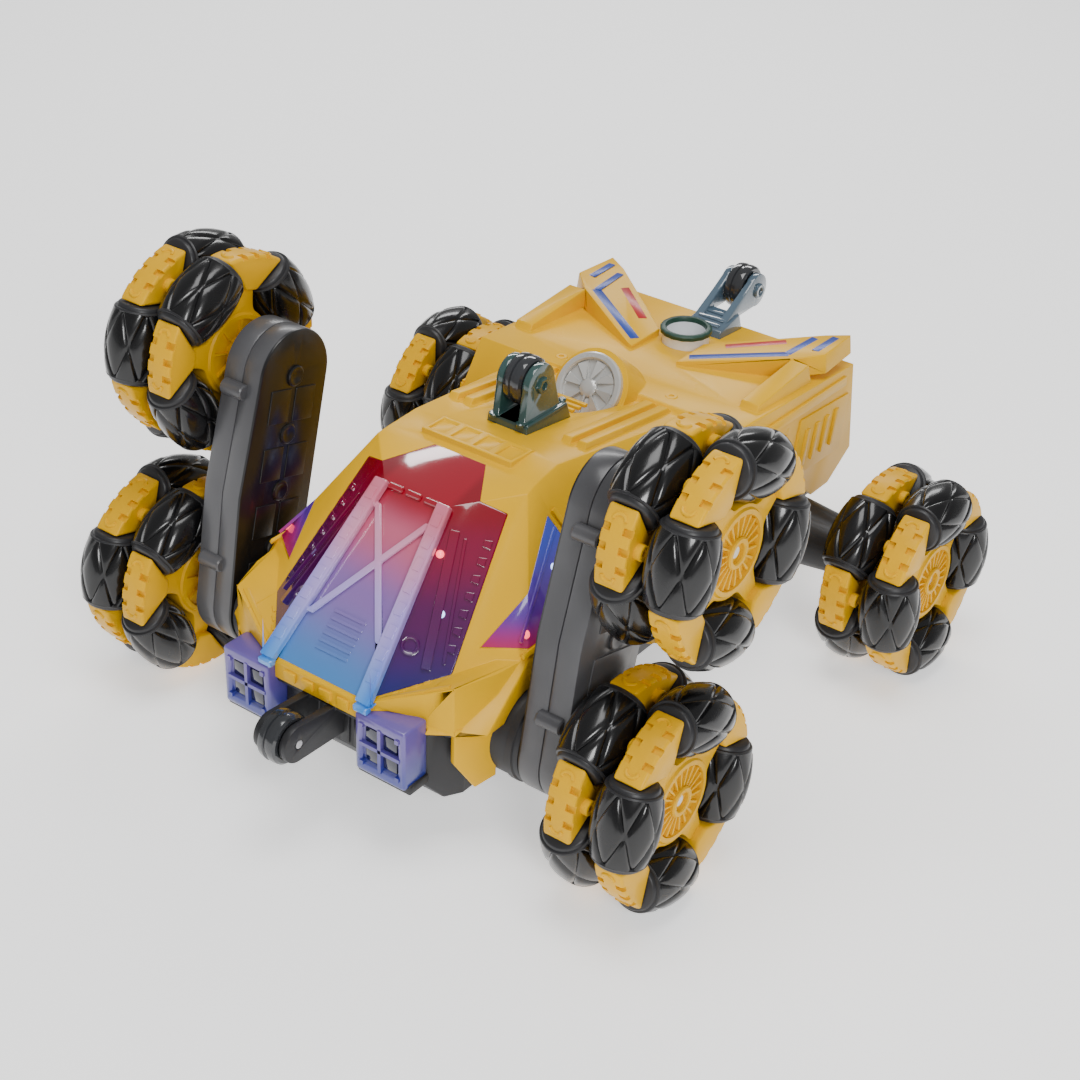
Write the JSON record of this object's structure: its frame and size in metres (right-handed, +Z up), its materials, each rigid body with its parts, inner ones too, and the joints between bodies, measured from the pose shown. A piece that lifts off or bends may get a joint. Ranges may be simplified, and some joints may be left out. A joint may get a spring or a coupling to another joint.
{
  "type": "rc stunt car",
  "caption": "Remote-controlled stunt car with two swinging arms, omni-roller wheels on the arms and at the rear, tinted canopy and small idler wheels.",
  "frame": {"origin": "on the floor, at the middle of the car's length and width", "axes": "+Z up, -Y the way the car faces, +X its left side"},
  "size_m": [0.26, 0.2976, 0.1655],
  "materials": {
    "yellow_plastic": "satin moulded",
    "roller_rubber": "glossy",
    "gunmetal_plastic": "satin moulded",
    "tinted_canopy": "clear tinted",
    "frosted_lamp": "frosted clear",
    "smoked_clear": "smoked clear",
    "idler_plastic": "glossy",
    "silver_plastic": "satin",
    "steel": "plain",
    "gear_nylon": "plain",
    "board_green": "solder mask",
    "battery_wrap": "shrink wrap",
    "tank_white": "plain",
    "black_plastic": "fine grain"
  },
  "bodies": {
    "car_body": {"chassis": "black_plastic", "body_shell": "yellow_plastic", "canopy": "tinted_canopy", "left_side_window": "tinted_canopy", "right_side_window": "tinted_canopy", "light_bars": "tinted_canopy", "left_headlamp": "frosted_lamp", "right_headlamp": "frosted_lamp", "turbine_disc": "silver_plastic", "roof_bracket": "smoked_clear", "rear_bracket": "smoked_clear", "battery_cover": "black_plastic", "battery_pack": "battery_wrap", "circuit_board": "board_green", "motor_gearboxes": "black_plastic", "mist_tank": "tank_white", "filler_ring": "smoked_clear", "body_screws": "steel", "idler_pins": "steel"},
    "left_swing_arm": {"left_arm_inner_shell": "gunmetal_plastic", "left_arm_outer_shell": "gunmetal_plastic", "left_swing_gear": "gear_nylon"},
    "left_front_wheel": {"left_front_wheel_inner_hub": "yellow_plastic", "left_front_wheel_outer_hub": "yellow_plastic", "left_front_wheel_rollers": "roller_rubber", "left_front_axle_gear": "gear_nylon"},
    "left_low_idler_gear": {"left_low_idler_gear": "gear_nylon"},
    "left_middle_idler_gear": {"left_middle_idler_gear": "gear_nylon"},
    "left_high_idler_gear": {"left_high_idler_gear": "gear_nylon"},
    "left_upper_wheel": {"left_upper_wheel_inner_hub": "yellow_plastic", "left_upper_wheel_outer_hub": "yellow_plastic", "left_upper_wheel_rollers": "roller_rubber", "left_upper_axle_gear": "gear_nylon"},
    "left_rear_wheel": {"left_rear_wheel_inner_hub": "yellow_plastic", "left_rear_wheel_outer_hub": "yellow_plastic", "left_rear_wheel_rollers": "roller_rubber", "left_rear_axle": "steel"},
    "right_swing_arm": {"right_arm_inner_shell": "gunmetal_plastic", "right_arm_outer_shell": "gunmetal_plastic", "right_swing_gear": "gear_nylon"},
    "right_front_wheel": {"right_front_wheel_inner_hub": "yellow_plastic", "right_front_wheel_outer_hub": "yellow_plastic", "right_front_wheel_rollers": "roller_rubber", "right_front_axle_gear": "gear_nylon"},
    "right_low_idler_gear": {"right_low_idler_gear": "gear_nylon"},
    "right_middle_idler_gear": {"right_middle_idler_gear": "gear_nylon"},
    "right_high_idler_gear": {"right_high_idler_gear": "gear_nylon"},
    "right_upper_wheel": {"right_upper_wheel_inner_hub": "yellow_plastic", "right_upper_wheel_outer_hub": "yellow_plastic", "right_upper_wheel_rollers": "roller_rubber", "right_upper_axle_gear": "gear_nylon"},
    "right_rear_wheel": {"right_rear_wheel_inner_hub": "yellow_plastic", "right_rear_wheel_outer_hub": "yellow_plastic", "right_rear_wheel_rollers": "roller_rubber", "right_rear_axle": "steel"},
    "swing_layshaft": {"swing_layshaft": "gear_nylon"},
    "front_idler_wheel": {"front_idler_wheel": "idler_plastic"},
    "roof_idler_wheel": {"roof_idler_wheel": "idler_plastic"},
    "rear_idler_wheel": {"rear_idler_wheel": "idler_plastic"},
    "power_switch": {"power_switch": "black_plastic"}
  },
  "joints": [
    {"name": "left_arm_swing", "type": "hinge", "parent": "car_body", "child": "left_swing_arm", "pos_m": [0, -0.0795, 0.04], "axis": [1, 0, 0], "continuous": true},
    {"name": "left_front_wheel_spin", "type": "hinge", "parent": "left_swing_arm", "child": "left_front_wheel", "pos_m": [0, -0.0795, 0.04], "axis": [1, 0, 0], "continuous": true},
    {"name": "left_low_idler_gear_spin", "type": "hinge", "parent": "left_swing_arm", "child": "left_low_idler_gear", "pos_m": [0, -0.07425, 0.06137], "axis": [1, 0, 0], "continuous": true},
    {"name": "left_middle_idler_gear_spin", "type": "hinge", "parent": "left_swing_arm", "child": "left_middle_idler_gear", "pos_m": [0, -0.069, 0.08273], "axis": [1, 0, 0], "continuous": true},
    {"name": "left_high_idler_gear_spin", "type": "hinge", "parent": "left_swing_arm", "child": "left_high_idler_gear", "pos_m": [0, -0.06376, 0.10409], "axis": [1, 0, 0], "continuous": true},
    {"name": "left_upper_wheel_spin", "type": "hinge", "parent": "left_swing_arm", "child": "left_upper_wheel", "pos_m": [0, -0.05851, 0.12546], "axis": [1, 0, 0], "continuous": true},
    {"name": "left_rear_wheel_spin", "type": "hinge", "parent": "car_body", "child": "left_rear_wheel", "pos_m": [0, 0.0935, 0.04], "axis": [1, 0, 0], "continuous": true},
    {"name": "right_arm_swing", "type": "hinge", "parent": "car_body", "child": "right_swing_arm", "pos_m": [0, -0.0795, 0.04], "axis": [1, 0, 0], "continuous": true},
    {"name": "right_front_wheel_spin", "type": "hinge", "parent": "right_swing_arm", "child": "right_front_wheel", "pos_m": [0, -0.0795, 0.04], "axis": [1, 0, 0], "continuous": true},
    {"name": "right_low_idler_gear_spin", "type": "hinge", "parent": "right_swing_arm", "child": "right_low_idler_gear", "pos_m": [0, -0.07425, 0.06137], "axis": [1, 0, 0], "continuous": true},
    {"name": "right_middle_idler_gear_spin", "type": "hinge", "parent": "right_swing_arm", "child": "right_middle_idler_gear", "pos_m": [0, -0.069, 0.08273], "axis": [1, 0, 0], "continuous": true},
    {"name": "right_high_idler_gear_spin", "type": "hinge", "parent": "right_swing_arm", "child": "right_high_idler_gear", "pos_m": [0, -0.06376, 0.10409], "axis": [1, 0, 0], "continuous": true},
    {"name": "right_upper_wheel_spin", "type": "hinge", "parent": "right_swing_arm", "child": "right_upper_wheel", "pos_m": [0, -0.05851, 0.12546], "axis": [1, 0, 0], "continuous": true},
    {"name": "right_rear_wheel_spin", "type": "hinge", "parent": "car_body", "child": "right_rear_wheel", "pos_m": [0, 0.0935, 0.04], "axis": [1, 0, 0], "continuous": true},
    {"name": "swing_layshaft_turn", "type": "hinge", "parent": "car_body", "child": "swing_layshaft", "pos_m": [0, -0.0585, 0.04], "axis": [1, 0, 0], "continuous": true},
    {"name": "front_idler_wheel_spin", "type": "hinge", "parent": "car_body", "child": "front_idler_wheel", "pos_m": [0, -0.1395, 0.044], "axis": [1, 0, 0], "continuous": true},
    {"name": "roof_idler_wheel_spin", "type": "hinge", "parent": "car_body", "child": "roof_idler_wheel", "pos_m": [0, -0.0095, 0.12699], "axis": [1, 0, 0], "continuous": true},
    {"name": "rear_idler_wheel_spin", "type": "hinge", "parent": "car_body", "child": "rear_idler_wheel", "pos_m": [0, 0.1395, 0.112], "axis": [1, 0, 0], "continuous": true},
    {"name": "power_switch_slide", "type": "slide", "parent": "car_body", "child": "power_switch", "axis": [0, 1, 0], "range_m": [0, 0.003]}
  ],
  "couplings": [
    {"joint": "left_low_idler_gear_spin", "follows": "left_front_wheel_spin", "ratio": -1},
    {"joint": "left_middle_idler_gear_spin", "follows": "left_front_wheel_spin", "ratio": 1},
    {"joint": "left_high_idler_gear_spin", "follows": "left_front_wheel_spin", "ratio": -1},
    {"joint": "left_upper_wheel_spin", "follows": "left_front_wheel_spin", "ratio": 1},
    {"joint": "right_low_idler_gear_spin", "follows": "right_front_wheel_spin", "ratio": -1},
    {"joint": "right_middle_idler_gear_spin", "follows": "right_front_wheel_spin", "ratio": 1},
    {"joint": "right_high_idler_gear_spin", "follows": "right_front_wheel_spin", "ratio": -1},
    {"joint": "right_upper_wheel_spin", "follows": "right_front_wheel_spin", "ratio": 1},
    {"joint": "swing_layshaft_turn", "follows": "left_arm_swing", "ratio": -2},
    {"joint": "right_arm_swing", "follows": "left_arm_swing", "ratio": 1}
  ]
}
